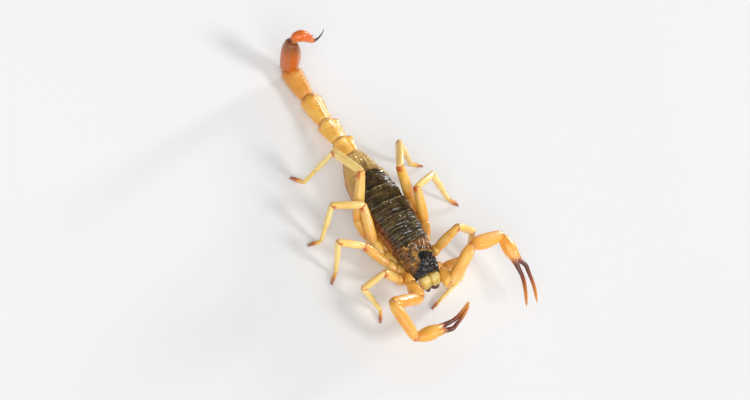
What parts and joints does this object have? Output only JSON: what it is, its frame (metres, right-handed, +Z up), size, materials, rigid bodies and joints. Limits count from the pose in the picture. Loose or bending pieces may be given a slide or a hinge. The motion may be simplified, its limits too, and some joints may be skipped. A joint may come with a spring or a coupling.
{
  "type": "scorpion",
  "caption": "Life-size still scorpion on its walking legs, claws in front, tail laid along the ground with its last ring and sting raised.",
  "frame": {"origin": "on the ground plane, under the middle of the animal's bounding box", "axes": "+Z up, -Y towards the head, +Y towards the tail, +X towards the animal's left"},
  "size_m": [0.0354, 0.065, 0.0134],
  "materials": {
    "carapace": "mottled brown cuticle with a dark patch round the eyes, half gloss",
    "back_plates": "dark olive brown cuticle, wrinkled, glossy",
    "legs": "pale yellow cuticle, slightly clear, half gloss",
    "pedipalps": "orange yellow cuticle, half gloss",
    "fingers": "dark red brown cuticle, half gloss",
    "chelicerae": "pale yellow green cuticle with dark tips",
    "combs": "pale cream cuticle",
    "tail": "yellow orange cuticle with keels, half gloss",
    "tail_end": "orange brown cuticle, half gloss"
  },
  "bodies": {
    "root": {"prosoma": "carapace", "mesosoma": "back_plates", "chelicera_left": "chelicerae", "pecten_left": "combs", "pedipalp_left_trochanter": "pedipalps", "pedipalp_left_femur": "pedipalps", "pedipalp_left_patella": "pedipalps", "pedipalp_left_hand": "pedipalps", "pedipalp_left_movable_finger": "fingers", "leg_left_1_femur": "legs", "leg_left_1_patella": "legs", "leg_left_1_tibia": "legs", "leg_left_1_tarsus": "legs", "leg_left_2_femur": "legs", "leg_left_2_patella": "legs", "leg_left_2_tibia": "legs", "leg_left_2_tarsus": "legs", "leg_left_3_femur": "legs", "leg_left_3_patella": "legs", "leg_left_3_tibia": "legs", "leg_left_3_tarsus": "legs", "leg_left_4_femur": "legs", "leg_left_4_patella": "legs", "leg_left_4_tibia": "legs", "leg_left_4_tarsus": "legs", "chelicera_right": "chelicerae", "pecten_right": "combs", "pedipalp_right_trochanter": "pedipalps", "pedipalp_right_femur": "pedipalps", "pedipalp_right_patella": "pedipalps", "pedipalp_right_hand": "pedipalps", "pedipalp_right_movable_finger": "fingers", "leg_right_1_femur": "legs", "leg_right_1_patella": "legs", "leg_right_1_tibia": "legs", "leg_right_1_tarsus": "legs", "leg_right_2_femur": "legs", "leg_right_2_patella": "legs", "leg_right_2_tibia": "legs", "leg_right_2_tarsus": "legs", "leg_right_3_femur": "legs", "leg_right_3_patella": "legs", "leg_right_3_tibia": "legs", "leg_right_3_tarsus": "legs", "leg_right_4_femur": "legs", "leg_right_4_patella": "legs", "leg_right_4_tibia": "legs", "leg_right_4_tarsus": "legs", "metasoma_1": "tail", "metasoma_2": "tail", "metasoma_3": "tail", "metasoma_4": "tail_end", "metasoma_5": "tail_end", "telson": "tail_end"}
  },
  "joints": []
}
